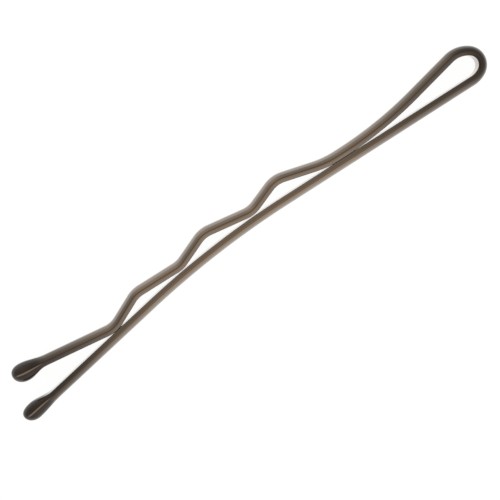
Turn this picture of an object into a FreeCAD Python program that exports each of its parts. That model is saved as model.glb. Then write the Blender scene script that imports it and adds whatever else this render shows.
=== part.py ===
# Bobby pin: one crowned flat wire folded into a spring loop, with a straight leg, a crimped leg
# that lies against it, and a bead of dipped resin on each wire end.
# Frame: the origin is the centre of the loop's round end, +X runs along the pin towards the loop,
# +Y points to the crimped leg, and +Z is across the wire's face. Millimetres and degrees.
import FreeCAD, Part
import math
import os

import Sketcher

# Driving dimensions: name, value, what it measures.
SIZES = (
    ("wire_width", 1.40, "flat wire across its face"),
    ("wire_thickness", 0.85, "flat wire from its inner face to the top of the crown"),
    ("wire_edge", 0.34, "flat narrow side of the wire, below the crown"),
    ("wire_corner", 0.15, "rounding of the two inner corners of the wire"),
    ("eye_end_radius", 1.22, "round end of the loop, to the middle of the wire"),
    ("eye_lower_radius", 2.00, "easing arc of the loop on the straight side"),
    ("eye_upper_radius", 2.30, "easing arc of the loop on the crimped side"),
    ("eye_lower_turn", 63.0, "round end, swept from the loop's end to the straight side"),
    ("eye_upper_turn", 47.0, "round end, swept from the loop's end to the crimped side"),
    ("lower_flank_angle", 4.15, "slant of the straight leg where it leaves the loop"),
    ("upper_flank_angle", 8.7, "slant of the crimped leg where it leaves the loop"),
    ("flank_stub", 1.50, "straight wire that belongs to the spring bend, on each side"),
    ("flank_run", 18.90, "straight leg from the loop to its bow"),
    ("bow_radius", 79.0, "gentle bow of the straight leg"),
    ("bow_turn", 10.45, "angle that the bow turns through"),
    ("leg_gap", 0.04, "clearance between the legs where they meet"),
    ("neck_radius", 35.0, "gentle bend that brings the crimped leg alongside"),
    ("neck_land", 0.50, "stretch where the two legs run side by side"),
    ("neck_bend_radius", 8.60, "bend that lifts the crimped leg to its first crest"),
    ("crimp_count", 3.0, "number of crests"),
    ("crest_start", 5.41, "from the neck bend to the first crest"),
    ("crimp_pitch", 7.50, "from one crest to the next"),
    ("crest_fall", 3.35, "from a crest to the trough after it"),
    ("crimp_height", 1.035, "first crest above the last trough"),
    ("crest_drop", 0.147, "how much lower each next crest is"),
    ("trough_lift", 0.093, "extra clearance at every trough but the last"),
    ("crimp_radius", 2.40, "bend of the crests and troughs, to the middle of the wire"),
    ("tail_angle", 11.5, "slant of the crimped leg's end, lifted for the hair to enter"),
    ("tail_run", 8.19, "crimped wire from its last bend to its end"),
    ("straight_overhang", 1.30, "how far the straight tip reaches past the crimped tip"),
    ("tip_cover", 0.31, "resin beyond the corners of the wire's end"),
    ("tip_collar", 0.05, "thickness of the resin where it starts on the wire"),
    ("tip_bond", 0.01, "room for the bond between the wire and the resin"),
    ("tip_nose", 1.11, "from the thickest place of a tip to its end"),
    ("ridge_width", 0.10, "narrow ridge along each side of a tip"),
    ("straight_tip_length", 3.25, "resin tip of the straight leg"),
    ("straight_tip_inner", 0.52, "resin over the straight wire's inner face, at the thickest place"),
    ("straight_tip_outer", 0.15, "resin over its crown there"),
    ("straight_tip_side", 0.155, "resin over its narrow sides there"),
    ("crimped_tip_length", 3.00, "resin tip of the crimped leg"),
    ("crimped_tip_inner", 0.59, "resin over the crimped wire's inner face, at the thickest place"),
    ("crimped_tip_outer", 0.27, "resin over its crown there"),
    ("crimped_tip_side", 0.25, "resin over its narrow sides there"),
)

# A bend takes at most this share of the room that the runs beside it leave.
BEND_SHARE = 0.95
# A tip swells to this share of its belly halfway between its start and its belly.
WAIST_SWELL = 0.62
# Stations of a tip's nose, as shares of the way from its end back to its belly.
NOSE_STATIONS = (0.42, 0.12)
# The blunt end of a tip, as a share of its belly.
NOSE_END = 0.16

doc = FreeCAD.newDocument("bobby_pin")


def fill_sheet(name, rows):
    """A spreadsheet with a name, an aliased value and a note in each row."""
    sheet = doc.addObject("Spreadsheet::Sheet", name)
    for number, (alias, content, note) in enumerate(rows, start=1):
        sheet.set(f"A{number}", alias)
        sheet.set(f"B{number}", str(content))
        sheet.setAlias(f"B{number}", alias)
        sheet.set(f"C{number}", note)
    doc.recompute()
    return sheet


sizes = fill_sheet("sizes", SIZES)
crimps = round(sizes.crimp_count)


def beside_leg(name, along, offset):
    """Rows that place a point by its way along the straight leg and its offset from that leg."""
    onto_bow = f"min(max({name}_along - sizes.flank_run; 0); bow_length)"
    on_flank = f"min({name}_along; sizes.flank_run)"
    past_bow = f"max({name}_along - sizes.flank_run - bow_length; 0)"
    flank = "sizes.lower_flank_angle"
    slant = f"{name}_slant"
    return [
        (f"{name}_along", f"={along}", "way along the straight leg"),
        (slant, f"={flank} - {onto_bow} / sizes.bow_radius * 180 / pi", "slant of the leg there"),
        (
            f"{name}_x",
            f"=lower_start_x - {on_flank} * cos({flank}) - {past_bow} * cos({slant})"
            f" + sizes.bow_radius * (sin({slant}) - sin({flank})) + ({offset}) * sin({slant})",
            "place along X",
        ),
        (
            f"{name}_y",
            f"=lower_start_y + {on_flank} * sin({flank}) + {past_bow} * sin({slant})"
            f" + sizes.bow_radius * (cos({slant}) - cos({flank})) + ({offset}) * cos({slant})",
            "place along Y",
        ),
    ]


def bend_room(run, depth):
    """The largest bend radius that fits a run with a bend at each end, on opposite sides."""
    return f"{BEND_SHARE} * (({run}) ^ 2 + ({depth}) ^ 2) / (4 * ({depth}))"


def tip_rows(leg):
    """Rows that size the thickest place of a resin tip, and the resin beyond its wire's end."""
    inner, outer = f"sizes.{leg}_tip_inner", f"sizes.{leg}_tip_outer"
    side = f"sizes.wire_width / 2 + sizes.{leg}_tip_side"
    wire_share = f"((sizes.wire_width / 2 + sizes.tip_bond) / {leg}_belly_half)"
    return [
        (f"{leg}_belly_middle", f"=({outer} - {inner}) / 2", "thickest place, its middle from mid wire"),
        (
            f"{leg}_belly_reach",
            f"=sizes.wire_thickness / 2 + ({inner} + {outer}) / 2",
            "from that middle to its inner and outer side",
        ),
        (f"{leg}_belly_half", f"=max({side}; {leg}_belly_reach)", "from that middle to each ridge"),
        (
            f"{leg}_cover",
            f"=sizes.tip_cover + sizes.tip_nose * (1 - sqrt(1 - {wire_share} ^ 2))",
            "resin beyond the wire's end, where the round nose is as wide as the wire",
        ),
    ]


def layout_rows():
    """Places worked out from the driving dimensions, loop first, then neck, crimps and ends."""
    rows = []
    lower, upper = "sizes.lower_flank_angle", "sizes.upper_flank_angle"
    lower_arm = "(sizes.eye_lower_radius - sizes.eye_end_radius)"
    upper_arm = "(sizes.eye_upper_radius - sizes.eye_end_radius)"
    rows += [
        ("lower_join_x", "=sizes.eye_end_radius * cos(sizes.eye_lower_turn)", "round end to easing arc"),
        ("lower_join_y", "=-sizes.eye_end_radius * sin(sizes.eye_lower_turn)", ""),
        ("upper_join_x", "=sizes.eye_end_radius * cos(sizes.eye_upper_turn)", "round end to easing arc"),
        ("upper_join_y", "=sizes.eye_end_radius * sin(sizes.eye_upper_turn)", ""),
        (
            "lower_start_x",
            f"=-{lower_arm} * cos(sizes.eye_lower_turn) - sizes.eye_lower_radius * sin({lower})",
            "start of the straight leg's flank",
        ),
        (
            "lower_start_y",
            f"={lower_arm} * sin(sizes.eye_lower_turn) - sizes.eye_lower_radius * cos({lower})",
            "",
        ),
        (
            "upper_start_x",
            f"=-{upper_arm} * cos(sizes.eye_upper_turn) - sizes.eye_upper_radius * sin({upper})",
            "start of the crimped leg's flank",
        ),
        (
            "upper_start_y",
            f"=-{upper_arm} * sin(sizes.eye_upper_turn) + sizes.eye_upper_radius * cos({upper})",
            "",
        ),
        ("lower_split_x", f"=lower_start_x - sizes.flank_stub * cos({lower})", "bend meets straight leg"),
        ("lower_split_y", f"=lower_start_y + sizes.flank_stub * sin({lower})", ""),
        ("upper_split_x", f"=upper_start_x - sizes.flank_stub * cos({upper})", "bend meets crimped leg"),
        ("upper_split_y", f"=upper_start_y - sizes.flank_stub * sin({upper})", ""),
        ("bow_length", "=sizes.bow_radius * sizes.bow_turn * pi / 180", "length of the bow"),
        ("leg_spacing", "=sizes.wire_thickness + sizes.leg_gap", "middle to middle where the legs meet"),
        (
            "flank_spread",
            f"=(upper_start_x - lower_start_x) * sin({lower})"
            f" + (upper_start_y - lower_start_y) * cos({lower})",
            "how far the loop spreads the two flanks",
        ),
        (
            "flank_meet",
            f"=(flank_spread - leg_spacing) / sin({lower} + {upper})",
            "way down the upper flank to the corner of the neck",
        ),
        (
            "neck_corner",
            f"=(lower_start_x - upper_start_x + flank_meet * cos({upper})) * cos({lower})"
            f" + (upper_start_y - flank_meet * sin({upper}) - lower_start_y) * sin({lower})",
            "the same corner, as a way along the straight leg",
        ),
        (
            "crimp_bend",
            f"=min(sizes.crimp_radius; {bend_room('sizes.crest_fall', 'sizes.crimp_height')};"
            f" {bend_room('sizes.crimp_pitch - sizes.crest_fall', 'sizes.crimp_height')})",
            "radius of the crests and troughs",
        ),
        (
            "neck_bend",
            f"=min(sizes.neck_bend_radius;"
            f" 2 * {bend_room('sizes.crest_start', 'sizes.crimp_height')} - crimp_bend)",
            "radius of the bend after the neck",
        ),
    ]
    neck = f"neck_corner + sizes.neck_radius * tan(({lower} + {upper}) / 2)"
    rows += beside_leg("neck", neck, "leg_spacing + sizes.neck_radius")
    rows += beside_leg("lift", "neck_along + sizes.neck_land", "leg_spacing + neck_bend")
    for number in range(crimps):
        crest = f"lift_along + sizes.crest_start + {number} * sizes.crimp_pitch"
        trough = f"{crest} + sizes.crest_fall"
        height = f"leg_spacing + sizes.crimp_height - {number} * sizes.crest_drop"
        lift = "sizes.trough_lift" if number < crimps - 1 else "0"
        rows += beside_leg(f"crest_{number}", crest, f"{height} - crimp_bend")
        rows += beside_leg(f"trough_{number}", trough, f"leg_spacing + {lift} + crimp_bend")
    last = f"trough_{crimps - 1}"
    tail = "sizes.tail_angle"
    rows += [
        (
            "crimped_end_x",
            f"={last}_x - crimp_bend * sin({tail}) - sizes.tail_run * cos({tail})",
            "end of the crimped wire",
        ),
        ("crimped_end_y", f"={last}_y - crimp_bend * cos({tail}) + sizes.tail_run * sin({tail})", ""),
        ("straight_fall", f"=sizes.bow_turn - {lower}", "slant of the straight leg's end"),
    ]
    for leg in ("straight", "crimped"):
        rows += tip_rows(leg)
    rows += beside_leg("bow_start", "sizes.flank_run", "0")
    rows += beside_leg("bow_end", "sizes.flank_run + bow_length", "0")
    rows += [
        (
            "straight_end_x",
            f"=crimped_end_x - sizes.straight_overhang"
            f" + straight_cover * cos(straight_fall) - crimped_cover * cos({tail})",
            "end of the straight wire",
        ),
        ("straight_end_y", "=bow_end_y - (bow_end_x - straight_end_x) * tan(straight_fall)", ""),
    ]
    return rows


layout = fill_sheet("layout", layout_rows())


def number_of(expression):
    """The present value of an expression on the sheets."""
    return float(sizes.evalExpression(expression))


def new_sketch(body, name, plane):
    """A sketch on one of the body's own origin planes."""
    sketch = body.newObject("Sketcher::SketchObject", f"{body.Name}_{name}")
    sketch.AttachmentSupport = [(next(f for f in body.Origin.OriginFeatures if f.Role == plane), "")]
    sketch.MapMode = "FlatFace"
    return sketch


def bind(sketch, kind, where, expression):
    """A dimension of a sketch, bound to the sheets."""
    index = sketch.addConstraint(Sketcher.Constraint(kind, *where, number_of(expression)))
    sketch.setExpression(f"Constraints[{index}]", expression)


def pin_point(sketch, geometry, end, place):
    """Hold one end of a line, or an arc's centre, at a place given by two expressions."""
    bind(sketch, "DistanceX", (-1, 1, geometry, end), place[0])
    bind(sketch, "DistanceY", (-1, 1, geometry, end), place[1])


def add_arc(sketch, centre, radius, start, finish, turn):
    """An arc from start to finish, turn +1 anticlockwise; returns it with its first and last end."""
    circle = Part.Circle(centre, FreeCAD.Vector(0, 0, 1), radius)
    first, last = (start, finish) if turn > 0 else (finish, start)
    angles = [math.atan2(p.y - centre.y, p.x - centre.x) for p in (first, last)]
    arc = sketch.addGeometry(Part.ArcOfCircle(circle, angles[0], angles[1]))
    return (arc, 1, 2) if turn > 0 else (arc, 2, 1)


def draw_outline(sketch, corners, arcs, closed):
    """Lines and arcs through pinned corners; arcs maps a side's number to its radius and turn."""
    points = [FreeCAD.Vector(number_of(x), number_of(y), 0) for x, y in corners]
    count = len(points) if closed else len(points) - 1
    sides = []
    for side in range(count):
        start, finish = points[side], points[(side + 1) % len(points)]
        if side in arcs:
            radius, turn = number_of(arcs[side][0]), arcs[side][1]
            chord = finish - start
            rise = math.sqrt(radius**2 - (chord.Length / 2) ** 2)
            left = FreeCAD.Vector(-chord.y, chord.x, 0).normalize()
            centre = (start + finish) / 2 + left * rise * turn
            sides.append(add_arc(sketch, centre, radius, start, finish, turn))
        else:
            sides.append((sketch.addGeometry(Part.LineSegment(start, finish)), 1, 2))
    for side in range(count if closed else count - 1):
        here, following = sides[side], sides[(side + 1) % count]
        corner = Sketcher.Constraint("Coincident", here[0], here[2], following[0], following[1])
        sketch.addConstraint(corner)
    for side, corner in zip(sides, corners):
        pin_point(sketch, side[0], side[1], corner)
    if not closed:
        pin_point(sketch, sides[-1][0], sides[-1][2], corners[-1])
    for side, (radius, _) in arcs.items():
        bind(sketch, "Radius", (sides[side][0],), radius)


def draw_bends(sketch, start, bends, finish):
    """Straight runs that touch a row of bends: each bend has a centre, a radius and a turn."""
    hubs = [FreeCAD.Vector(number_of(x), number_of(y), 0) for (x, y), _, _ in bends]
    radii = [number_of(radius) for _, radius, _ in bends]
    turns = [turn for _, _, turn in bends]
    first = FreeCAD.Vector(number_of(start[0]), number_of(start[1]), 0)
    last = FreeCAD.Vector(number_of(finish[0]), number_of(finish[1]), 0)
    # The first and last points count as bends of no radius, so that every run touches two circles.
    stops = list(zip([first] + hubs + [last], [0.0] + radii + [0.0], [1] + turns + [1]))
    touches = []
    for (hub, radius, turn), (next_hub, next_radius, next_turn) in zip(stops, stops[1:]):
        gap = next_hub - hub
        swing = math.asin((next_turn * next_radius - turn * radius) / gap.Length)
        heading = math.atan2(gap.y, gap.x) - swing
        left = FreeCAD.Vector(-math.sin(heading), math.cos(heading), 0)
        touches.append((hub - left * turn * radius, next_hub - left * next_turn * next_radius))
    runs = [sketch.addGeometry(Part.LineSegment(a, b)) for a, b in touches]
    for number, (centre, radius, turn) in enumerate(bends):
        arrive, leave = touches[number][1], touches[number + 1][0]
        arc, arc_start, arc_finish = add_arc(sketch, hubs[number], radii[number], arrive, leave, turn)
        sketch.addConstraint(Sketcher.Constraint("Tangent", runs[number], 2, arc, arc_start))
        sketch.addConstraint(Sketcher.Constraint("Tangent", arc, arc_finish, runs[number + 1], 1))
        pin_point(sketch, arc, 3, centre)
        bind(sketch, "Radius", (arc,), radius)
    pin_point(sketch, runs[0], 1, start)
    pin_point(sketch, runs[-1], 2, finish)


def draw_wire_section(sketch, outer, room="0"):
    """Crowned flat wire around the sketch's origin: outer is +1 or -1, the side of the crown."""
    inner = f"(sizes.wire_thickness / 2 + {room})"
    half = f"(sizes.wire_width / 2 + {room})"
    corner = f"min(sizes.wire_corner; {BEND_SHARE} * sizes.wire_edge)"
    shoulder = f"(sizes.wire_edge - sizes.wire_thickness / 2 + {room})"
    crown = "(sizes.wire_thickness - sizes.wire_edge)"
    corners = [
        (f"-{outer} * {inner}", f"-{half} + {corner}"),
        (f"-{outer} * {inner}", f"{half} - {corner}"),
        (f"{outer} * ({corner} - {inner})", half),
        (f"{outer} * {shoulder}", half),
        (f"{outer} * {shoulder}", f"-{half}"),
        (f"{outer} * ({corner} - {inner})", f"-{half}"),
    ]
    crown_radius = f"({half} ^ 2 + {crown} ^ 2) / (2 * {crown})"
    arcs = {1: (corner, -outer), 3: (crown_radius, -outer), 5: (corner, -outer)}
    draw_outline(sketch, corners, arcs, closed=True)


def wire_piece(name, outer, start, slant, draw_path):
    """Sweep the wire's section from its start, where it slants, along a path in the pin's plane."""
    body = doc.addObject("PartDesign::Body", name)
    path = new_sketch(body, "path", "XY_Plane")
    draw_path(path)
    section = new_sketch(body, "section", "YZ_Plane")
    turned = FreeCAD.Rotation(FreeCAD.Vector(0, 1, 0), 1)
    section.AttachmentOffset = FreeCAD.Placement(FreeCAD.Vector(), turned)
    section.setExpression(".AttachmentOffset.Base.x", start[1])
    section.setExpression(".AttachmentOffset.Base.z", start[0])
    section.setExpression(".AttachmentOffset.Rotation.Angle", slant)
    draw_wire_section(section, outer)
    doc.recompute()
    sweep = body.newObject("PartDesign::AdditivePipe", f"{name}_sweep")
    sweep.Profile = section
    sweep.Spine = (path, [])
    doc.recompute()
    area = Part.Face(section.Shape.Wires[0]).Area
    expected = area * path.Shape.Length
    print(f"{name}: {sweep.Shape.Volume:.3f} mm3 swept, section times length is {expected:.3f} mm3")
    return body


def place(name):
    """The two expressions of a place on the layout sheet."""
    return f"layout.{name}_x", f"layout.{name}_y"


def spring_bend():
    """The loop: a round end eased into two flanks, cut square across each flank."""
    corners = [place(name) for name in ("lower_split", "lower_start", "lower_join", "upper_join")]
    corners += [place("upper_start"), place("upper_split")]
    radii = ("sizes.eye_lower_radius", "sizes.eye_end_radius", "sizes.eye_upper_radius")
    arcs = {side: (radius, 1) for side, radius in enumerate(radii, start=1)}
    return wire_piece(
        "spring_bend",
        -1,
        place("lower_split"),
        "-sizes.lower_flank_angle",
        lambda path: draw_outline(path, corners, arcs, closed=False),
    )


def straight_leg():
    """The plain leg: a flank, a gentle bow towards the other leg, and a straight end."""
    corners = [place(name) for name in ("lower_split", "bow_start", "bow_end", "straight_end")]
    arcs = {1: ("sizes.bow_radius", 1)}
    return wire_piece(
        "straight_leg",
        -1,
        place("lower_split"),
        "-sizes.lower_flank_angle",
        lambda path: draw_outline(path, corners, arcs, closed=False),
    )


def crimped_leg():
    """The wavy leg: it comes down to the straight leg at the neck, then rises and falls over it."""
    bends = [(place("neck"), "sizes.neck_radius", -1), (place("lift"), "layout.neck_bend", -1)]
    for number in range(crimps):
        bends.append((place(f"crest_{number}"), "layout.crimp_bend", 1))
        bends.append((place(f"trough_{number}"), "layout.crimp_bend", -1))
    return wire_piece(
        "crimped_leg",
        1,
        place("upper_split"),
        "sizes.upper_flank_angle",
        lambda path: draw_bends(path, place("upper_split"), bends, place("crimped_end")),
    )


def tip_stations(leg):
    """Sections of a resin tip from its start to its end.

    Each has its way back from the end, its middle, its reach from there to the inner and to the
    outer side, its half width and the width of its ridge.
    """
    length = f"sizes.{leg}_tip_length"
    middle = "(sizes.wire_edge / 2 - sizes.wire_thickness / 2)"
    thick = "sizes.wire_thickness / 2 + sizes.tip_collar"
    half = "(sizes.wire_width / 2 + sizes.tip_collar)"
    ridge = "(sizes.wire_edge + sizes.tip_collar)"
    start = (middle, f"({thick} + {middle})", f"({thick} - {middle})", half, ridge)
    reach = f"layout.{leg}_belly_reach"
    belly = (f"layout.{leg}_belly_middle", reach, reach, f"layout.{leg}_belly_half", "sizes.ridge_width")
    waist = tuple(f"({a} * {1 - WAIST_SWELL} + {b} * {WAIST_SWELL})" for a, b in zip(start, belly))
    stations = [(length, start), (f"({length} + sizes.tip_nose) / 2", waist), ("sizes.tip_nose", belly)]
    for share in NOSE_STATIONS + (0,):
        shrink = math.sqrt(1 - (1 - share) ** 2) if share else NOSE_END
        nose = tuple(f"({b} * {shrink})" for b in belly[1:])
        stations.append((f"{share} * sizes.tip_nose", belly[:1] + nose))
    return stations


def draw_tip_section(sketch, middle, inner, outer, half, ridge):
    """A lens of two arcs, inner and outer, that meet at a narrow ridge on each side."""
    corners = [
        (f"{middle} + {ridge} / 2", half),
        (f"{middle} + {ridge} / 2", f"-{half}"),
        (f"{middle} - {ridge} / 2", f"-{half}"),
        (f"{middle} - {ridge} / 2", half),
    ]
    arcs = {}
    for side, reach in ((0, outer), (2, inner)):
        rise = f"({reach} - {ridge} / 2)"
        arcs[side] = (f"({half} ^ 2 + {rise} ^ 2) / (2 * {rise})", -1)
    draw_outline(sketch, corners, arcs, closed=True)


def resin_tip(leg, outward, heading):
    """A bead of resin over a leg's end; the body's +Y is the crown's side, its X the wire's line."""
    name = f"{leg}_tip"
    body = doc.addObject("PartDesign::Body", name)
    body.Placement = FreeCAD.Placement(FreeCAD.Vector(), FreeCAD.Rotation(FreeCAD.Vector(0, 0, 1), 1))
    end_x, end_y = place(f"{leg}_end")
    body.setExpression(".Placement.Base.x", end_x)
    body.setExpression(".Placement.Base.y", end_y)
    body.setExpression(".Placement.Rotation.Angle", heading)
    cover, length = f"layout.{leg}_cover", f"sizes.{leg}_tip_length"
    sections = []
    for number, (back, shape) in enumerate(tip_stations(leg)):
        sketch = new_sketch(body, f"section_{number}", "YZ_Plane")
        sketch.setExpression(".AttachmentOffset.Base.z", f"{outward} * ({cover} - {back})")
        draw_tip_section(sketch, *shape)
        sections.append(sketch)
    doc.recompute()
    bead = body.newObject("PartDesign::AdditiveLoft", f"{name}_bead")
    bead.Profile = sections[0]
    bead.Sections = sections[1:]
    doc.recompute()
    solid = bead.Shape.Volume
    mouth = new_sketch(body, "mouth", "YZ_Plane")
    mouth.setExpression(".AttachmentOffset.Base.z", f"{outward} * ({cover} - {length})")
    draw_wire_section(mouth, 1, "sizes.tip_bond")
    doc.recompute()
    socket = body.newObject("PartDesign::Pocket", f"{name}_socket")
    socket.Profile = mouth
    socket.Type = "Length"
    socket.setExpression("Length", f"{length} - {cover} + sizes.tip_bond")
    socket.Reversed = outward > 0
    doc.recompute()
    print(f"{name}: {solid:.3f} mm3 of bead, {solid - socket.Shape.Volume:.3f} mm3 of socket")
    return body


pieces = [
    spring_bend(),
    straight_leg(),
    crimped_leg(),
    resin_tip("straight", 1, "180 + layout.straight_fall"),
    resin_tip("crimped", -1, "-sizes.tail_angle"),
]
doc.recompute()

for item in doc.Objects:
    if {"Invalid", "Error"} & set(item.State):
        raise RuntimeError(f"{item.Label} failed: {item.State}")
for piece in pieces:
    if piece.Shape.isNull() or not piece.Shape.isValid() or len(piece.Shape.Solids) != 1:
        raise RuntimeError(f"{piece.Label} is not one valid solid")

os.makedirs("parts", exist_ok=True)
for piece in pieces:
    piece.Shape.exportStep(f"parts/{piece.Label}.step")
    box = piece.Shape.BoundBox
    print(f"{piece.Label}: X {box.XMin:.2f} to {box.XMax:.2f}, Y {box.YMin:.2f} to {box.YMax:.2f},"
          f" Z {box.ZMin:.2f} to {box.ZMax:.2f}")
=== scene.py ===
# Bobby pin: the finish of a lacquered wire pin with two dipped tips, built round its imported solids.
# Metres. The pin lies on its side: +X runs to the loop, +Y to the crimped leg, +Z up to the camera.
import math

import bpy
import numpy as np
from mathutils import Matrix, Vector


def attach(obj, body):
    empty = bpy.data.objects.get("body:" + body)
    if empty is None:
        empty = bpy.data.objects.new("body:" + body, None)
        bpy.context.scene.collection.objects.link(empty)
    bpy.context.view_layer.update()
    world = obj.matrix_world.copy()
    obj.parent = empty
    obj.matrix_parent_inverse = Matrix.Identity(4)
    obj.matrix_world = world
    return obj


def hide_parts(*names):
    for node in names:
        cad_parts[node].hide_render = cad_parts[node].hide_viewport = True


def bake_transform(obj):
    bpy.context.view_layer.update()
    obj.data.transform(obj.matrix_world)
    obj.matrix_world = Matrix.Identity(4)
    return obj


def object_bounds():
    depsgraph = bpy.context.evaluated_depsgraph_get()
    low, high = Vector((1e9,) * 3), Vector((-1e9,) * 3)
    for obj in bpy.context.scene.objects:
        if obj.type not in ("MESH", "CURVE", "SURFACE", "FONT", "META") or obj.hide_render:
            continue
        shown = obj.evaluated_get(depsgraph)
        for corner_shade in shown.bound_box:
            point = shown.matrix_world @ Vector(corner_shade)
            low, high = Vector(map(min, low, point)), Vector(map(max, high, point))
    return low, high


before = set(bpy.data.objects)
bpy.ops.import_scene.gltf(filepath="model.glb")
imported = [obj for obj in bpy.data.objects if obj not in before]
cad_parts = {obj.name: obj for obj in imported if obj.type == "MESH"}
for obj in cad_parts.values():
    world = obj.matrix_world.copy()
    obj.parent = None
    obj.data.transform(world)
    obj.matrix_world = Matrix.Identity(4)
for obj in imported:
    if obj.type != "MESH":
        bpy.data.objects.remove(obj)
cad_low, cad_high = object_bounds()

# Spring bend
# The loop that lets the pin spring open: flat spring-steel wire with a crowned outer face, bent round
# a former and coated all over with a baked bronze-brown lacquer. It is one wire with the two legs.
MM = 0.001
WIRE_WIDTH = 1.40 * MM
WIRE_THICKNESS = 0.85 * MM
INNER_COAT = 0.018 * MM
# From the inner face to the widest line, and the radii of the narrow side, crown, ridge and inner corner.
WIRE_WIDEST = 0.348 * MM
WIRE_SIDE = 0.60 * MM
WIRE_CROWN = 0.75 * MM
WIRE_RIDGE = 0.15 * MM
WIRE_CORNER = 0.09 * MM
# The loop's path along the middle of the wire, and the slants of the two flanks that run on from it.
EYE_END_RADIUS = 1.213 * MM
EYE_LOWER_RADIUS = 2.00 * MM
EYE_UPPER_RADIUS = 2.30 * MM
EYE_LOWER_TURN = math.radians(63.0)
EYE_UPPER_TURN = math.radians(47.0)
LOWER_FLANK = math.radians(4.15)
UPPER_FLANK = math.radians(8.7)
FLANK_STUB = 1.50 * MM
BEND_STEP = 0.05 * MM
# Points on half of a section: where they lie on the flat inner face, and how many each arc adds.
FACE_SHARES = (0.0, 0.5, 0.9, 0.97)
CORNER_POINTS = 9
INNER_SIDE_POINTS = 6
OUTER_SIDE_POINTS = 5
RIDGE_POINTS = 6
CROWN_POINTS = 16
INNER_POINTS = len(FACE_SHARES) + CORNER_POINTS + INNER_SIDE_POINTS
OUTER_POINTS = OUTER_SIDE_POINTS + RIDGE_POINTS + CROWN_POINTS


def turned(angle):
    """Unit vector in the pin's plane at an angle from +X."""
    return np.array([math.cos(angle), math.sin(angle)])


def mirrored(half):
    """Closed outline from its half, which runs from the inner to the outer middle of the section."""
    return np.concatenate([half, half[-2:0:-1] * (1, -1)])


def wire_profile(film):
    """Half of the outline of the wire's section as (outward, across) pairs, grown by a film.

    A flat inner face and four arcs that run into each other, each a hub plus a radius times (sin, cos)
    of the normal's angle: the inner corner, the slightly round narrow side, the ridge and the crown. The
    small arcs lie inside the large ones, so their hubs are apart by the difference of their radii; the
    ridge's hub is where two such circles round the hubs of the side and of the crown cross. The lacquer
    on the inner face is counted, so that the legs touch where they lie against each other.
    """
    inner = -WIRE_THICKNESS / 2 - INNER_COAT
    side_hub = np.array([inner + WIRE_WIDEST, WIRE_WIDTH / 2 - WIRE_SIDE])
    crown_hub = np.array([WIRE_THICKNESS / 2 - WIRE_CROWN, 0])
    corner_turn = -math.asin((WIRE_WIDEST - WIRE_CORNER) / (WIRE_SIDE - WIRE_CORNER))
    corner_way = np.array([math.sin(corner_turn), math.cos(corner_turn)])
    corner_hub = side_hub + (WIRE_SIDE - WIRE_CORNER) * corner_way
    apart = crown_hub - side_hub
    span = np.hypot(*apart)
    near, far = WIRE_SIDE - WIRE_RIDGE, WIRE_CROWN - WIRE_RIDGE
    along = (near**2 - far**2 + span**2) / (2 * span)
    off = math.sqrt(near**2 - along**2)
    ridge_hub = side_hub + (along * apart + off * np.array([apart[1], -apart[0]])) / span
    side_turn = math.atan2(*(ridge_hub - side_hub))
    crown_turn = math.atan2(*(ridge_hub - crown_hub))
    arcs = (
        (corner_hub, WIRE_CORNER, np.linspace(-math.pi / 2, corner_turn, CORNER_POINTS)),
        (side_hub, WIRE_SIDE, np.linspace(corner_turn, 0, INNER_SIDE_POINTS + 1)[1:]),
        (side_hub, WIRE_SIDE, np.linspace(0, side_turn, OUTER_SIDE_POINTS + 1)[1:]),
        (ridge_hub, WIRE_RIDGE, np.linspace(side_turn, crown_turn, RIDGE_POINTS + 1)[1:]),
        (crown_hub, WIRE_CROWN, np.linspace(crown_turn, math.pi / 2, CROWN_POINTS + 1)[1:]),
    )
    across = np.array(FACE_SHARES) * corner_hub[1]
    outline = [np.stack([np.full(across.size, inner - film), across], axis=1)]
    for hub, radius, turn in arcs:
        outline.append(hub + (radius + film) * np.stack([np.sin(turn), np.cos(turn)], axis=1))
    return np.concatenate(outline)


def lay_wire(start, heading, runs, step):
    """Points, headings and lengths along a wire laid from a start as (length, turn) runs.

    Each run has an even curvature. From its first point a run goes the chord of its arc, which is the
    length times sin(half turn) / (half turn), at the heading plus half of the turn made so far.
    """
    lengths, turns = np.array(runs, float).T
    begins = np.concatenate([[0], np.cumsum(lengths)])
    headings = heading + np.concatenate([[0], np.cumsum(turns)])
    chords = lengths * np.sinc(turns / 2 / np.pi)
    mids = headings[:-1] + turns / 2
    hops = chords[:, None] * np.stack([np.cos(mids), np.sin(mids)], axis=1)
    corners = np.concatenate([[[0, 0]], np.cumsum(hops, axis=0)]) + start
    counts = np.maximum(np.ceil(lengths / step).astype(int), 1)
    marks = []
    for begin, count, length in zip(begins, counts, lengths):
        marks.append(begin + np.arange(count) * length / count)
    along = np.concatenate(marks + [begins[-1:]])
    run = np.clip(np.searchsorted(begins, along, side="right") - 1, 0, len(runs) - 1)
    gone = along - begins[run]
    turn = turns[run] * gone / lengths[run]
    mid = headings[run] + turn / 2
    chord = gone * np.sinc(turn / 2 / np.pi)
    points = corners[run] + chord[:, None] * np.stack([np.cos(mid), np.sin(mid)], axis=1)
    return points, headings[run] + turn, along


def carry(sections, points, headings, side):
    """Rings of a section carried along a path in the pin's plane.

    A section point (outward, across) lies outward along the path's normal, on the given side of its
    heading (+1 left, -1 right), and across along +Z.
    """
    normal = side * np.stack([-np.sin(headings), np.cos(headings)], axis=1)
    flat = points[:, None, :] + sections[..., :1] * normal[:, None, :]
    return np.concatenate([flat, np.broadcast_to(sections[..., 1:], (*flat.shape[:2], 1))], axis=2)


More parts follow.
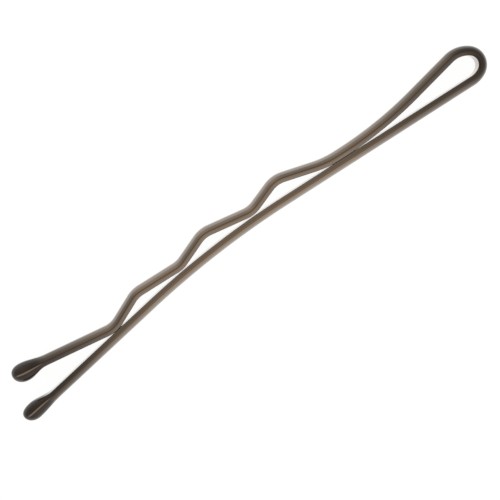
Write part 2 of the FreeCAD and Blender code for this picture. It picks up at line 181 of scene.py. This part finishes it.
def skin(name, rings, places, rims, flip):
    """A closed mesh over a grid of rings: quads between neighbours, and a flat cap on each end.

    places holds the three numbers that the piece's finish reads at each vertex. The rings numbered in
    rims are sharp edges.
    """
    count, around = rings.shape[:2]
    here = np.arange(count * around).reshape(count, around)
    ahead, beside = np.roll(here, -1, axis=0)[:-1], np.roll(here, -1, axis=1)
    quads = np.stack([here[:-1], beside[:-1], np.roll(ahead, -1, axis=1), ahead], axis=2).reshape(-1, 4)
    caps = [here[0, ::-1], here[-1]]
    if flip:
        quads = quads[:, ::-1]
        caps = [cap[::-1] for cap in caps]
    mesh = bpy.data.meshes.new(name)
    mesh.from_pydata(rings.reshape(-1, 3), [], quads.tolist() + [cap.tolist() for cap in caps])
    mesh.attributes.new("place", "FLOAT_VECTOR", "POINT").data.foreach_set("vector", places.reshape(-1))
    mesh.shade_smooth()
    pairs = np.zeros(len(mesh.edges) * 2, int)
    mesh.edges.foreach_get("vertices", pairs)
    ring = pairs.reshape(-1, 2) // around
    sharp = (ring[:, 0] == ring[:, 1]) & np.isin(ring[:, 0], np.array(rims) % count)
    mesh.attributes.new("sharp_edge", "BOOLEAN", "EDGE").data.foreach_set("value", sharp)
    mesh.validate()
    piece = bpy.data.objects.new(name, mesh)
    bpy.context.scene.collection.objects.link(piece)
    return piece


class Shade:
    """A socket of a node tree: arithmetic on it adds Math nodes."""

    def __init__(self, tree, socket=None):
        self.tree = tree
        self.socket = socket

    def add(self, kind, settings, sockets, out=0):
        """Add any other node: its settings are set first, then its sockets' values or links."""
        node = self.tree.nodes.new(kind)
        for name, value in settings.items():
            setattr(node, name, value)
        for name, value in sockets.items():
            if isinstance(value, Shade):
                self.tree.links.new(value.socket, node.inputs[name])
            else:
                node.inputs[name].default_value = value
        return Shade(self.tree, node.outputs[out])

    def maths(self, operation, first, second):
        return self.add("ShaderNodeMath", {"operation": operation}, {0: first, 1: second})

    def __add__(self, other):
        return self.maths("ADD", self, other)

    def __radd__(self, other):
        return self.maths("ADD", other, self)

    def __sub__(self, other):
        return self.maths("SUBTRACT", self, other)

    def __rsub__(self, other):
        return self.maths("SUBTRACT", other, self)

    def __mul__(self, other):
        return self.maths("MULTIPLY", self, other)

    def __rmul__(self, other):
        return self.maths("MULTIPLY", other, self)

    def __pow__(self, other):
        return self.maths("POWER", self, other)

    def __rpow__(self, other):
        return self.maths("POWER", other, self)

    def vector(self, operation, first, second, out="Vector"):
        return self.add("ShaderNodeVectorMath", {"operation": operation}, {0: first, 1: second}, out)

    def parts(self):
        """The three parts of a vector."""
        split = self.add("ShaderNodeSeparateXYZ", {}, {0: self})
        return [Shade(self.tree, part) for part in split.socket.node.outputs]

    def between(self, low, high):
        """0 at low, 1 at high and beyond, and a smooth step from one to the other."""
        limits = {0: self, 1: low, 2: high, 3: 0.0, 4: 1.0}
        return self.add("ShaderNodeMapRange", {"interpolation_type": "SMOOTHSTEP"}, limits)

    def bell(self, middle, width):
        """A bell curve: e to the power of minus the square of the way from the middle over the width."""
        off = (self - middle) * (1 / width)
        return math.e ** (0.0 - off * off)

    def noise(self, place, scale, detail=2.0):
        """Fractal noise from 0 to 1 at a place."""
        return self.add("ShaderNodeTexNoise", {}, {"Vector": place, "Scale": scale, "Detail": detail})

    def mix(self, share, first, second):
        """A colour that goes from the first to the second as the share goes from 0 to 1.

        The node's sockets for colours are numbers 6 and 7 going in and number 2 coming out.
        """
        return self.add("ShaderNodeMix", {"data_type": "RGBA"}, {"Factor": share, 6: first, 7: second}, out=2)

    def attribute(self, name, out):
        """A mesh attribute, as a Vector or as a number, which the node calls Fac."""
        return self.add("ShaderNodeAttribute", {"attribute_name": name}, {}, out)

    def feed(self, shader, values):
        """Link each named input of a shader to its value."""
        for name, value in values.items():
            self.tree.links.new(value.socket, shader.inputs[name])


def new_material(name):
    """A material with a Principled shader, and the Shade that adds nodes to it."""
    material = bpy.data.materials.new(name)
    material.use_nodes = True
    tree = material.node_tree
    return material, Shade(tree), tree.nodes["Principled BSDF"]


LACQUER = (0.290, 0.245, 0.205, 1.0)
LACQUER_DEEP = (0.260, 0.213, 0.170, 1.0)
DEEP_SHARE = 0.5
DEEP_LIMITS = (0.35, 0.75)
LACQUER_BROWN = (0.325, 0.225, 0.145, 1.0)
BROWN_SHARE = 0.85
BROWN_OUTWARD = -0.09 * MM
BROWN_WIDTH = 0.15 * MM
# Painted shade, darker towards the ends of the pin: ways from the pin's middle.
LACQUER_END_SHADE = (0.158, 0.127, 0.100, 1.0)
LACQUER_END_DEEP_SHADE = (0.050, 0.038, 0.029, 1.0)
PIN_MIDDLE = -23.3 * MM
END_SHADE_START = 8.0 * MM
END_SHADE_FULL = 21.0 * MM
END_SHADE_DEEPEST = 25.0 * MM
# The film of the tips' resin: ways along a leg from its cut beside the loop.
RUN_OUT = (0.080, 0.062, 0.048, 1.0)
RUN_OUT_START = 36.0 * MM
RUN_OUT_FULL = 44.5 * MM
# Painted shade: thin dark lines along the ridge and the inner corner.
SHADE_LINE_TONE = (0.065, 0.043, 0.028, 1.0)
SHADE_LINE_WIDTH = 0.034 * MM
SHADE_LINE_OUTWARD = -0.055 * MM
SHADE_LINE_SHARE = 0.75
CORNER_SHADE_OUTWARD = -0.388 * MM
CORNER_SHADE_SHARE = 0.3
# Painted reflection of the white floor, as a lighter inner face: where it comes in round the corner,
# and how much of it the clouds leave.
INNER_FACE_SHEEN = (0.480, 0.415, 0.350, 1.0)
SHEEN_EDGE = -0.415 * MM
SHEEN_FACE = -0.443 * MM
SHEEN_LEAST = 0.7
SHEEN_LIMITS = (0.4, 0.7)
# Noise scales per metre, roughness and bumps.
DRAWN_SCALE = 14000.0
DRAWN_STRETCH = (0.03, 1.0, 1.0)
DRAWN_DETAIL = 3.0
PEEL_SCALE = 9000.0
CLOUD_SCALE = 320.0
LACQUER_ROUGH = 0.15
DRAWN_ROUGH = 0.05
CLOUD_ROUGH = 0.04
LACQUER_BUMP = 0.25
DRAWN_BUMP = 0.5
PEEL_BUMP = 0.5
BUMP_HEIGHT = 0.004 * MM
COAT_ROUGH = 0.12


def lacquer():
    """Baked bronze-brown lacquer with a metallic pigment, satin.

    Drawing lines are noise stretched along the wire, and the lacquer's skin has a fine orange peel. It
    is browner round the ridge of the narrow sides and deeper here and there along the wire. Towards the
    ends of the pin it is painted darker, in two steps: painted shade, as less light falls there than on
    the middle. Thin dark lines of painted shade lie along the ridge between the narrow side and the
    crown and along the inner corner, each as a bell curve of the distance from it. A film of the tips'
    resin runs out over the ends of the legs. Short of that film the inner face is painted lighter in
    patches with the clouds: a painted reflection of the white floor.
    """
    material, shade, shader = new_material("bronze_brown_lacquer")
    place = shade.attribute("place", "Vector")
    along, outward = place.parts()[:2]
    here = shade.add("ShaderNodeTexCoord", {}, {}, "Object")
    drawn = shade.noise(shade.vector("MULTIPLY", place, DRAWN_STRETCH), DRAWN_SCALE, DRAWN_DETAIL)
    peel = shade.noise(here, PEEL_SCALE)
    cloud = shade.noise(here, CLOUD_SCALE)
    # Painted shade towards the ends of the pin, read from the mesh.
    end_shading = shade.attribute("end_shading", "Fac")
    run_out = along.between(RUN_OUT_START, RUN_OUT_FULL)
    # Painted reflection of the white floor on the inner face, patchy with the clouds.
    sheen_share = SHEEN_LEAST + cloud.between(*SHEEN_LIMITS) * (1.0 - SHEEN_LEAST)
    inner_sheen = outward.between(SHEEN_EDGE, SHEEN_FACE) * sheen_share
    # Painted shade along the ridge and along the inner corner.
    line = outward.bell(SHADE_LINE_OUTWARD, SHADE_LINE_WIDTH)
    corner_shade = outward.bell(CORNER_SHADE_OUTWARD, SHADE_LINE_WIDTH)
    tone = shade.mix(cloud.between(*DEEP_LIMITS) * DEEP_SHARE, LACQUER, LACQUER_DEEP)
    tone = shade.mix(outward.bell(BROWN_OUTWARD, BROWN_WIDTH) * BROWN_SHARE, tone, LACQUER_BROWN)
    # Painted shade towards the ends of the pin, in two steps.
    tone = shade.mix(end_shading, tone, LACQUER_END_SHADE)
    tone = shade.mix(end_shading - 1.0, tone, LACQUER_END_DEEP_SHADE)
    tone = shade.mix(run_out, tone, RUN_OUT)
    # The painted shade lines darken the tone.
    tone = shade.mix(line * SHADE_LINE_SHARE + corner_shade * CORNER_SHADE_SHARE, tone, SHADE_LINE_TONE)
    # The painted floor reflection lightens the inner face short of the resin film.
    tone = shade.mix(inner_sheen * (1.0 - run_out), tone, INNER_FACE_SHEEN)
    rough = LACQUER_ROUGH + drawn * DRAWN_ROUGH + cloud * CLOUD_ROUGH
    height = drawn * DRAWN_BUMP + peel * PEEL_BUMP
    relief = {"Strength": LACQUER_BUMP, "Distance": BUMP_HEIGHT, "Height": height}
    bump = shade.add("ShaderNodeBump", {}, relief)
    shade.feed(shader, {"Base Color": tone, "Roughness": rough, "Normal": bump})
    shader.inputs["Metallic"].default_value = 1.0
    shader.inputs["Coat Weight"].default_value = 1.0
    shader.inputs["Coat Roughness"].default_value = COAT_ROUGH
    return material


def eased(way, start, full):
    """0 up to the start, 1 from the full place on, and a smooth step between them."""
    share = np.clip((way - start) / (full - start), 0, 1)
    return share**2 * (3 - 2 * share)


def wire_piece(name, points, headings, along, side, flip, finish):
    """One stretch of the wire, with its place in the straightened wire and its share of painted end shade.

    The place holds the way along, outward and across. The painted shade towards the ends comes in with a
    smooth step of the distance from the pin's middle, up to 1, and with another beyond that, up to 2,
    to the ends.
    """
    profile = mirrored(wire_profile(0.0))
    rings = carry(profile[None], points, headings, side)
    grid = np.broadcast_to(profile[None], (len(points), *profile.shape))
    ways = np.broadcast_to(along[:, None, None], (*grid.shape[:2], 1))
    piece = skin(name, rings, np.concatenate([ways, grid], axis=2), (0, -1), flip)
    # Painted shade towards the ends of the pin, where less light falls than on the middle.
    off_middle = np.abs(points[:, 0] - PIN_MIDDLE)
    end_shade = eased(off_middle, END_SHADE_START, END_SHADE_FULL) + eased(off_middle, END_SHADE_FULL, END_SHADE_DEEPEST)
    end_shading = np.repeat(end_shade, len(profile))
    piece.data.attributes.new("end_shading", "FLOAT", "POINT").data.foreach_set("value", end_shading)
    piece.data.materials.append(finish)
    return piece


LACQUERED = lacquer()
lower_hub = -(EYE_LOWER_RADIUS - EYE_END_RADIUS) * turned(-EYE_LOWER_TURN)
upper_hub = -(EYE_UPPER_RADIUS - EYE_END_RADIUS) * turned(EYE_UPPER_TURN)
lower_start = lower_hub + EYE_LOWER_RADIUS * turned(-LOWER_FLANK - math.pi / 2)
upper_start = upper_hub + EYE_UPPER_RADIUS * turned(UPPER_FLANK + math.pi / 2)
lower_split = lower_start + FLANK_STUB * turned(math.pi - LOWER_FLANK)
upper_split = upper_start + FLANK_STUB * turned(math.pi + UPPER_FLANK)
lower_ease = math.pi / 2 - EYE_LOWER_TURN + LOWER_FLANK
upper_ease = math.pi / 2 - EYE_UPPER_TURN + UPPER_FLANK
eye_turn = EYE_LOWER_TURN + EYE_UPPER_TURN
bend_runs = [
    (FLANK_STUB, 0),
    (EYE_LOWER_RADIUS * lower_ease, lower_ease),
    (EYE_END_RADIUS * eye_turn, eye_turn),
    (EYE_UPPER_RADIUS * upper_ease, upper_ease),
    (FLANK_STUB, 0),
]
bend_path = lay_wire(lower_split, -LOWER_FLANK, bend_runs, BEND_STEP)
spring_bend = wire_piece("spring_bend_wire", *bend_path, -1, False, LACQUERED)
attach(spring_bend, "bend")
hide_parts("spring_bend")

# Straight leg
# The plain leg of the same lacquered wire: a straight flank, a gentle bow towards the other leg and a
# straight end.
FLANK_RUN = 18.90 * MM
BOW_RADIUS = 79.0 * MM
BOW_TURN = math.radians(10.45)
STRAIGHT_END_X = -47.505 * MM
LEG_STEP = 0.10 * MM
FLEX_LENGTH = 14.0 * MM
bow_begin = lower_start + FLANK_RUN * turned(math.pi - LOWER_FLANK)
bow_hub = bow_begin - BOW_RADIUS * turned(math.pi / 2 - LOWER_FLANK)
straight_heading = math.pi - LOWER_FLANK + BOW_TURN
bow_finish = bow_hub + BOW_RADIUS * turned(straight_heading - math.pi / 2)
straight_tail = (STRAIGHT_END_X - bow_finish[0]) / math.cos(straight_heading)
straight_end = bow_finish + straight_tail * turned(straight_heading)
straight_runs = [(FLANK_RUN - FLANK_STUB, 0), (BOW_RADIUS * BOW_TURN, BOW_TURN), (straight_tail, 0)]
straight_path = lay_wire(lower_split, math.pi - LOWER_FLANK, straight_runs, LEG_STEP)
straight_leg = wire_piece("straight_leg_wire", *straight_path, 1, True, LACQUERED)
flex_end = lower_split + FLEX_LENGTH * turned(math.pi - LOWER_FLANK)
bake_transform(straight_leg)
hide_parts("straight_leg")

# Crimped leg
# The wavy leg of the same wire, crimped between rollers: it comes down beside the straight leg at the
# neck, rises and falls over it, touches it again at the last trough and lifts away to its tip.
LEG_GAP = 0.04 * MM
NECK_RADIUS = 35.0 * MM
NECK_LAND = 0.50 * MM
NECK_BEND_RADIUS = 8.60 * MM
CRIMP_COUNT = 3
CREST_START = 5.41 * MM
CRIMP_PITCH = 7.50 * MM
CREST_FALL = 3.35 * MM
CRIMP_HEIGHT = 1.035 * MM
CREST_DROP = 0.147 * MM
TROUGH_LIFT = 0.093 * MM
CRIMP_RADIUS = 2.40 * MM
TAIL_ANGLE = math.radians(11.5)
TAIL_RUN = 8.19 * MM


def beside_leg(along, offset):
    """A point by its way along the straight leg, past its bow's start or not, and its offset from it."""
    bow_length = BOW_RADIUS * BOW_TURN
    slant = LOWER_FLANK - min(max(along - FLANK_RUN, 0), bow_length) / BOW_RADIUS
    past_bow = max(along - FLANK_RUN - bow_length, 0)
    flank = min(along, FLANK_RUN) * turned(math.pi - LOWER_FLANK)
    bow = BOW_RADIUS * (turned(math.pi / 2 - slant) - turned(math.pi / 2 - LOWER_FLANK))
    on_leg = lower_start + flank + bow + past_bow * turned(math.pi - slant)
    return on_leg + offset * turned(math.pi / 2 - slant)


def bent_runs(start, bends, finish):
    """Straight runs that touch a row of (centre, radius, turn side) bends, as (length, turn) runs.

    The ends count as bends of no radius. A run from one bend to the next leaves the line of centres by
    the arcsine of the difference of their signed radii over the distance between the centres.
    """
    hubs = np.array([start] + [bend[0] for bend in bends] + [finish])
    radii = np.array([0] + [bend[1] * bend[2] for bend in bends] + [0])
    gaps = np.diff(hubs, axis=0)
    spans = np.hypot(*gaps.T)
    steps = np.diff(radii)
    ways = np.unwrap(np.arctan2(gaps[:, 1], gaps[:, 0])) - np.arcsin(steps / spans)
    straight = np.sqrt(spans**2 - steps**2)
    turns = np.diff(ways)
    lengths = np.zeros(2 * len(straight) - 1)
    swings = np.zeros_like(lengths)
    lengths[0::2], lengths[1::2] = straight, np.abs(radii[1:-1] * turns)
    swings[1::2] = turns
    return ways[0], list(zip(lengths, swings))


spacing = WIRE_THICKNESS + LEG_GAP
flank_lift = turned(math.pi / 2 - LOWER_FLANK)
flank_meet = ((upper_start - lower_start) @ flank_lift - spacing) / math.sin(LOWER_FLANK + UPPER_FLANK)
flank_corner = upper_start + flank_meet * turned(math.pi + UPPER_FLANK) - lower_start
neck_along = flank_corner @ turned(math.pi - LOWER_FLANK)
neck_along += NECK_RADIUS * math.tan((LOWER_FLANK + UPPER_FLANK) / 2)
lift_along = neck_along + NECK_LAND
bends = [
    (beside_leg(neck_along, spacing + NECK_RADIUS), NECK_RADIUS, -1),
    (beside_leg(lift_along, spacing + NECK_BEND_RADIUS), NECK_BEND_RADIUS, -1),
]
for number in range(CRIMP_COUNT):
    crest_along = lift_along + CREST_START + number * CRIMP_PITCH
    crest = spacing + CRIMP_HEIGHT - number * CREST_DROP
    trough = spacing + (TROUGH_LIFT if number < CRIMP_COUNT - 1 else 0)
    bends.append((beside_leg(crest_along, crest - CRIMP_RADIUS), CRIMP_RADIUS, 1))
    bends.append((beside_leg(crest_along + CREST_FALL, trough + CRIMP_RADIUS), CRIMP_RADIUS, -1))
crimped_heading = math.pi - TAIL_ANGLE
tail_start = bends[-1][0] - CRIMP_RADIUS * turned(math.pi / 2 - TAIL_ANGLE)
crimped_end = tail_start + TAIL_RUN * turned(crimped_heading)
crimped_way, crimped_runs = bent_runs(upper_split, bends, crimped_end)
crimped_path = lay_wire(upper_split, crimped_way, crimped_runs, LEG_STEP)
crimped_leg = wire_piece("crimped_leg_wire", *crimped_path, -1, False, LACQUERED)
flex_end = upper_split + FLEX_LENGTH * turned(math.pi + UPPER_FLANK)
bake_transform(crimped_leg)
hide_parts("crimped_leg")

# Tips
# A bead of dark resin on each wire end, dipped and cured so that it doesn't scratch: a teardrop that
# feathers out along the wire, with a fine rib on each side where the two halves of the drop meet.
TIP_NOSE = 1.11 * MM
# In millimetres: from the wire's middle to the bead's inner and outer side, half of its width, its
# length, how far it goes beyond the wire's end, and how far its nose droops outward.
TIP_SIZES = {
    "straight": {"inner": 0.94, "outer": 0.565, "side": 0.84, "length": 3.30, "cover": 0.80, "droop": -0.11},
    "crimped": {"inner": 1.01, "outer": 0.655, "side": 0.93, "length": 3.10, "cover": 0.68, "droop": 0.07},
}
TIP_FILM = 0.006 * MM
TIP_BOND = 0.002 * MM
TIP_RIB = 0.016 * MM
RIB_WIDTH = 0.05 * MM
NOSE_POWER = 2.2
NOSE_CUT = 0.9998
SWELL_RINGS = 60
NOSE_RINGS = 44
# The resin's colours, and the ways back from the bead's end between which each comes in.
RESIN = (0.040, 0.024, 0.016, 1.0)
RESIN_WARM = (0.052, 0.033, 0.023, 1.0)
WARM_LIMITS = (0.35, 0.7)
# Painted highlight along the rib.
RIB_HIGHLIGHT = (0.520, 0.430, 0.340, 1.0)
RIB_HIGHLIGHT_START = 0.25 * MM
RIB_HIGHLIGHT_FULL = 0.70 * MM
# Painted shade on the nib at the bead's nose.
RESIN_NOSE_SHADE = (0.012, 0.008, 0.006, 1.0)
NOSE_SHADE_START = 0.40 * MM
NOSE_SHADE_FULL = 0.10 * MM
THIN_START = 2.3 * MM
THIN_FULL = 3.1 * MM
# Noise scales per metre, roughness and bumps.
RESIN_CLOUD_SCALE = 700.0
RESIN_PEEL_SCALE = 5000.0
RESIN_ROUGH = 0.14
THIN_ROUGH = 0.08
RESIN_CLOUD_ROUGH = 0.05
RESIN_BUMP = 0.15
RESIN_CLOUD_BUMP = 2.0
RESIN_IOR = 1.50


def bead_profile(reach, half):
    """Half of a bead's section about its middle: an inner and an outer arc that meet on its widest line.

    Each arc stands on a chord of twice the half width and rises to the reach, so its radius is (half
    squared + reach squared) / (2 reach), and it sweeps to the arctangent of half over (radius - reach).
    """
    radius = (half**2 + reach**2) / (2 * reach)
    sweep = math.atan2(half, radius - reach)
    inner_share = np.linspace(0, 1, INNER_POINTS)
    outer_share = np.linspace(1, 0, OUTER_POINTS + 1)[1:]
    turn = sweep * np.concatenate([inner_share, outer_share])
    sign = np.concatenate([-np.ones(INNER_POINTS), np.ones(OUTER_POINTS)])
    return np.stack([sign * (reach - radius * (1 - np.cos(turn))), radius * np.sin(turn)], axis=1)


def resin():
    """Dark glossy resin, thin enough where it feathers out for the lacquer to show through.

    It is warmer here and there, with a painted highlight along the rib and painted shade, darkest, on the
    nib at its end.
    """
    material, shade, shader = new_material("dark_tip_resin")
    back, rib = shade.attribute("place", "Vector").parts()[:2]
    here = shade.add("ShaderNodeTexCoord", {}, {}, "Object")
    cloud = shade.noise(here, RESIN_CLOUD_SCALE)
    peel = shade.noise(here, RESIN_PEEL_SCALE)
    thin = back.between(THIN_START, THIN_FULL)
    tone = shade.mix(cloud.between(*WARM_LIMITS), RESIN, RESIN_WARM)
    # Painted highlight along the rib, away from the nose.
    tone = shade.mix(rib * back.between(RIB_HIGHLIGHT_START, RIB_HIGHLIGHT_FULL), tone, RIB_HIGHLIGHT)
    # Painted shade on the nib at the bead's end.
    tone = shade.mix(back.between(NOSE_SHADE_START, NOSE_SHADE_FULL), tone, RESIN_NOSE_SHADE)
    tone = shade.mix(thin, tone, RUN_OUT)
    rough = RESIN_ROUGH + thin * THIN_ROUGH + cloud * RESIN_CLOUD_ROUGH
    height = peel + cloud * RESIN_CLOUD_BUMP
    relief = {"Strength": RESIN_BUMP, "Distance": BUMP_HEIGHT, "Height": height}
    bump = shade.add("ShaderNodeBump", {}, relief)
    shade.feed(shader, {"Base Color": tone, "Roughness": rough, "Normal": bump})
    shade.feed(shader, {"Metallic": thin, "Coat Weight": thin})
    shader.inputs["Coat Roughness"].default_value = COAT_ROUGH
    shader.inputs["IOR"].default_value = RESIN_IOR
    return material


def tip(name, sizes, end, heading, side, flip, finish):
    """A bead carried along the wire's last stretch, from the floor of its socket to its nose.

    Behind the thickest place the section goes from the wire's own outline plus a film to the bead's by
    half a cosine wave; before it the section shrinks as a rounded quarter ellipse. A rib stands on the
    widest line, as a bell curve of the distance from it. The place holds the way back from the bead's
    end, the share of the rib and the way across.
    """
    size = {key: value * MM for key, value in sizes.items()}
    reach = (size["inner"] + size["outer"]) / 2
    middle = np.array([(size["outer"] - size["inner"]) / 2, 0])
    bead = mirrored(bead_profile(reach, size["side"])) + middle
    near_side = np.stack([bead[:, 0], np.abs(bead[:, 1])], axis=1)
    off_rib = np.linalg.norm(near_side - bead[INNER_POINTS - 1], axis=1)
    rib = np.exp(-((off_rib / RIB_WIDTH) ** 2))
    swell = np.linspace(0, 1, SWELL_RINGS)
    back = TIP_NOSE + (size["length"] - TIP_NOSE) * (1 - swell)
    share = (1 - np.cos(math.pi * swell)) / 2
    nose = np.sin(np.linspace(0, math.pi / 2, NOSE_RINGS + 1)[1:]) * NOSE_CUT
    back = np.concatenate([back, TIP_NOSE * (1 - nose)])
    share = np.concatenate([share, np.ones(nose.size)])[:, None, None]
    nose = np.concatenate([np.zeros(swell.size), nose])[:, None, None]
    shrink = (1 - nose**NOSE_POWER) ** (1 / NOSE_POWER)
    ribbed = bead + np.sign(bead) * (0, 1) * rib[:, None] * TIP_RIB
    sections = mirrored(wire_profile(TIP_FILM)) * (1 - share) + ribbed * share
    sections = middle + (sections - middle) * shrink + np.array([size["droop"], 0]) * nose**2
    socket = np.broadcast_to(mirrored(wire_profile(TIP_BOND)), (2, *bead.shape))
    sections = np.concatenate([socket, sections])
    back = np.concatenate([[size["cover"] - TIP_BOND, size["length"]], back])
    line = end + (size["cover"] - back)[:, None] * turned(heading)
    rings = carry(sections, line, np.full(back.size, heading), side)
    ribs = np.broadcast_to(rib, sections.shape[:2])
    places = np.stack([np.broadcast_to(back[:, None], ribs.shape), ribs, sections[..., 1]], axis=2)
    piece = skin(name, rings, places, (0, 1, 2), flip)
    piece.data.materials.append(finish)
    return piece


DIPPED = resin()
straight_place = (straight_end, straight_heading, 1, True)
straight_tip = tip("straight_tip_bead", TIP_SIZES["straight"], *straight_place, DIPPED)
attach(straight_tip, "straight_leg")
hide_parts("straight_tip")
crimped_place = (crimped_end, crimped_heading, -1, False)
crimped_tip = tip("crimped_tip_bead", TIP_SIZES["crimped"], *crimped_place, DIPPED)
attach(crimped_tip, "crimped_leg")
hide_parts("crimped_tip")

# Floor
# A plain white sheet under the pin. To the camera and in the pin's reflections it glows, so that it
# reads as white, and a part of its light there is its own shading, so it keeps the pin's shadow.
FLOOR_HALF = 1.2
FLOOR_WHITE = (0.90, 0.90, 0.90, 1.0)
FLOOR_DIM = (0.18, 0.18, 0.18, 1.0)
FLOOR_GLOW = 0.95
GLOW_WHITE = (1.0, 1.0, 1.0, 1.0)
floor_mesh = bpy.data.meshes.new("floor")
floor_corners = FLOOR_HALF * np.array([(-1, -1), (1, -1), (1, 1), (-1, 1)])
floor_mesh.from_pydata([(x, y, cad_low.z) for x, y in floor_corners], [], [(0, 1, 2, 3)])
floor = bpy.data.objects.new("floor", floor_mesh)
bpy.context.scene.collection.objects.link(floor)
floor_material = bpy.data.materials.new("white_sheet")
floor_material.use_nodes = True
floor_material.node_tree.nodes.clear()
shade = Shade(floor_material.node_tree)
camera_ray = shade.add("ShaderNodeLightPath", {}, {}, "Is Camera Ray")
glossy_ray = shade.add("ShaderNodeLightPath", {}, {}, "Is Glossy Ray")
through_ray = shade.add("ShaderNodeLightPath", {}, {}, "Is Transmission Ray")
sheet = shade.add("ShaderNodeBsdfDiffuse", {}, {"Color": FLOOR_WHITE})
dim = shade.add("ShaderNodeBsdfDiffuse", {}, {"Color": FLOOR_DIM})
glow = shade.add("ShaderNodeEmission", {}, {"Color": GLOW_WHITE, "Strength": FLOOR_GLOW})
lit = shade.add("ShaderNodeAddShader", {}, {0: dim, 1: glow})
seen = camera_ray + glossy_ray + through_ray
surface = shade.add("ShaderNodeMixShader", {}, {0: seen, 1: sheet, 2: lit})
shade.feed(shade.tree.nodes.new("ShaderNodeOutputMaterial"), {"Surface": surface})
floor_mesh.materials.append(floor_material)

# Light
# A white tent, darkest a little beyond the camera on the crimped leg's side and bright round the sides,
# with a warm strip over the middle of the pin that runs across it.
TENT_TOP = 0.04
TENT_SIDE = 0.56
TENT_FALL = 0.42
TENT_LEAN = math.radians(21.0)
STRIP_LIGHT = (0.30, 0.25, 0.19)
STRIP_WIDTH = 0.30
scene = bpy.context.scene
scene.world = bpy.data.worlds.new("tent")
scene.world.use_nodes = True
tent = Shade(scene.world.node_tree)
way = tent.add("ShaderNodeTexCoord", {}, {}, "Generated")
tent_axis = (0.0, math.sin(TENT_LEAN), math.cos(TENT_LEAN))
off_axis = 1.0 - tent.vector("DOT_PRODUCT", way, tent_axis, "Value")
wall = TENT_TOP + tent.maths("MAXIMUM", off_axis, 0.0) ** TENT_FALL * TENT_SIDE
strip = way.parts()[0].bell(0.0, STRIP_WIDTH)
warm = tent.vector("MULTIPLY", strip, STRIP_LIGHT)
tent.feed(tent.tree.nodes["Background"], {"Color": tent.vector("ADD", wall, warm)})

# Camera
# Above the pin and a little towards the crimped leg, turned so that the pin lies across the picture
# from lower left to upper right.
PICTURE = 500
PIXELS_PER_METRE = 11696.0
PIN_TURN = math.radians(36.74)
CAMERA_DISTANCE = 0.100
CAMERA_TILT = math.radians(8.0)
PICTURE_CENTRE = (-24.342 * MM, -1.525 * MM, 0.0)
SENSOR_WIDTH = 36.0
CLIP_START = 0.01
CLIP_END = 10.0
camera_data = bpy.data.cameras.new("camera")
camera = bpy.data.objects.new("camera", camera_data)
scene.collection.objects.link(camera)
toward = np.array([0, math.sin(CAMERA_TILT), math.cos(CAMERA_TILT)])
pin_axis = np.array([1.0, 0.0, 0.0])
pin_side = np.cross(toward, pin_axis)
pose = np.eye(4)
pose[:3, 0] = math.cos(PIN_TURN) * pin_axis - math.sin(PIN_TURN) * pin_side
pose[:3, 1] = math.sin(PIN_TURN) * pin_axis + math.cos(PIN_TURN) * pin_side
pose[:3, 2] = toward
pose[:3, 3] = np.array(PICTURE_CENTRE) + CAMERA_DISTANCE * toward
camera.matrix_world = Matrix(pose)
camera_data.sensor_width = SENSOR_WIDTH
camera_data.lens = SENSOR_WIDTH * CAMERA_DISTANCE * PIXELS_PER_METRE / PICTURE
camera_data.clip_start = CLIP_START
camera_data.clip_end = CLIP_END
scene.camera = camera
scene.view_settings.view_transform = "Standard"
